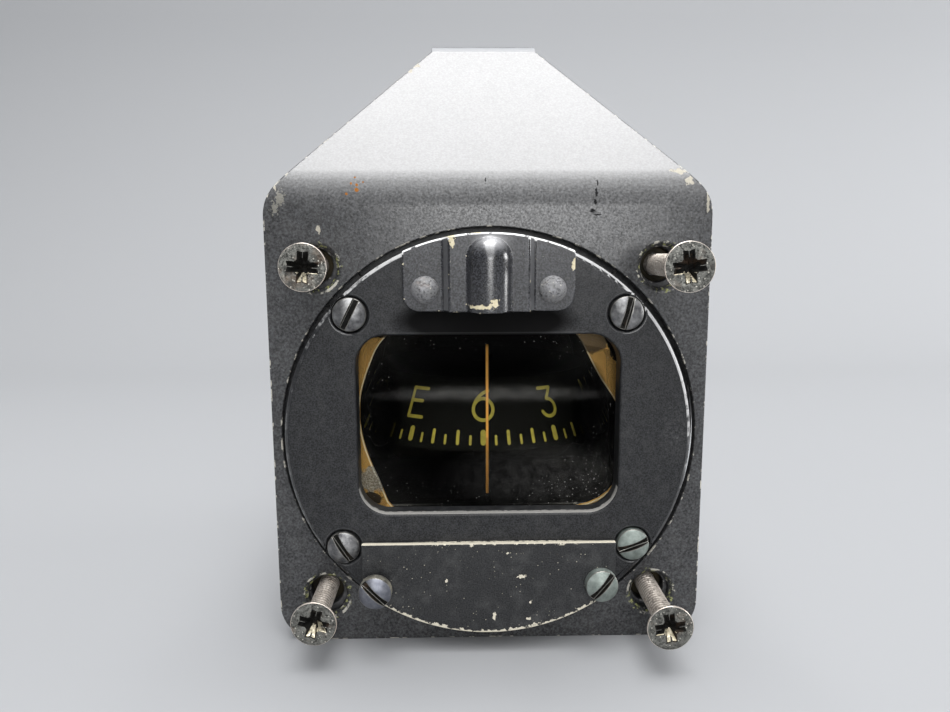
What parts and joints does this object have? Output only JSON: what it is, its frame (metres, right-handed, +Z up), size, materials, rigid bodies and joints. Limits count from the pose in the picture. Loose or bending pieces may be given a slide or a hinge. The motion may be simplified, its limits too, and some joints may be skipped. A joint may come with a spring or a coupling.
{
  "type": "aircraft compass",
  "caption": "Liquid-filled magnetic compass with a window, lamp cover and compensator, held in a bent sheet-metal bracket that hangs from a drilled tab.",
  "frame": {"origin": "middle of the bracket plate's bottom edge, at half the sheet's thickness", "axes": "+X to the right as seen from the front, +Y from the dial to the back, +Z up"},
  "size_m": [0.081, 0.0967, 0.1191],
  "materials": {
    "bracket_paint": "matt black paint, chipped at the edges",
    "bezel_paint": "satin black paint over cast alloy",
    "bowl_paint": "satin black paint over cast alloy",
    "cover_paint": "satin black paint, worn to bare metal at the edges",
    "panel_screw_steel": "dulled plated steel",
    "face_screw_steel": "blackened steel with worn slots",
    "rear_screw_steel": "plated steel",
    "insert_brass": "turned brass",
    "lens_glass": "clear, dusty at the edges",
    "cork": "pressed cork",
    "lubber_paint": "matt orange",
    "bulb_glass": "clear glass",
    "lamp_brass": "pressed brass",
    "fibre": "brown fibre",
    "rubber": "black rubber",
    "compensator_brass": "turned and milled brass",
    "magnet_steel": "hardened magnet steel",
    "washer_steel": "spring steel",
    "post_brass": "turned brass",
    "ruby": "polished ruby",
    "card_black": "matt black with painted marks",
    "float_alloy": "thin drawn alloy",
    "pivot_steel": "polished hard steel",
    "diaphragm_metal": "thin rippled nickel silver",
    "seal_copper": "soft copper"
  },
  "bodies": {
    "root": {"mounting_bracket": "bracket_paint", "panel_screws": "panel_screw_steel", "bowl": "bowl_paint", "ear_inserts": "insert_brass", "bezel": "bezel_paint", "bezel_screws": "face_screw_steel", "lens": "lens_glass", "lens_gasket": "cork", "lubber_line": "lubber_paint", "lamp_cover": "cover_paint", "lamp_cover_rivets": "face_screw_steel", "lamp_bulb": "bulb_glass", "lamp_base": "lamp_brass", "lamp_socket": "fibre", "lead_grommet": "rubber", "compensator_cover": "cover_paint", "compensator_cover_screws": "face_screw_steel", "compensator_frame": "compensator_brass", "adjuster_washers": "washer_steel", "jewel_post": "post_brass", "jewel_carrier": "post_brass", "jewel": "ruby", "diaphragm": "diaphragm_metal", "rear_gasket": "cork", "rear_cover": "bowl_paint", "rear_cover_screws": "rear_screw_steel", "filler_plug": "insert_brass", "filler_washer": "seal_copper"},
    "card": {"card": "card_black", "card_float": "float_alloy", "float_base": "float_alloy", "card_hub": "post_brass", "pivot": "pivot_steel", "card_magnets": "magnet_steel"},
    "east_west": {"east_west_adjuster": "compensator_brass", "east_west_magnet": "magnet_steel"},
    "north_south": {"north_south_adjuster": "compensator_brass"},
    "cross_spindle": {"north_south_cross_spindle": "compensator_brass", "north_south_magnet": "magnet_steel"}
  },
  "joints": [
    {"name": "card_spin", "type": "hinge", "parent": "root", "child": "card", "pos_m": [-0.0003, 0.0365, 0.0409], "axis": [0, 0, 1], "continuous": true},
    {"name": "east_west_adjust", "type": "hinge", "parent": "root", "child": "east_west", "pos_m": [-0.0093, 0, 0.0144], "axis": [0, 1, 0], "continuous": true},
    {"name": "north_south_adjust", "type": "hinge", "parent": "root", "child": "north_south", "pos_m": [0.0087, 0, 0.0144], "axis": [0, 1, 0], "continuous": true},
    {"name": "north_south_cross", "type": "hinge", "parent": "root", "child": "cross_spindle", "pos_m": [0, 0.021, 0.0144], "axis": [1, 0, 0], "continuous": true}
  ],
  "couplings": [
    {"joint": "north_south_cross", "follows": "north_south_adjust", "ratio": 1}
  ]
}
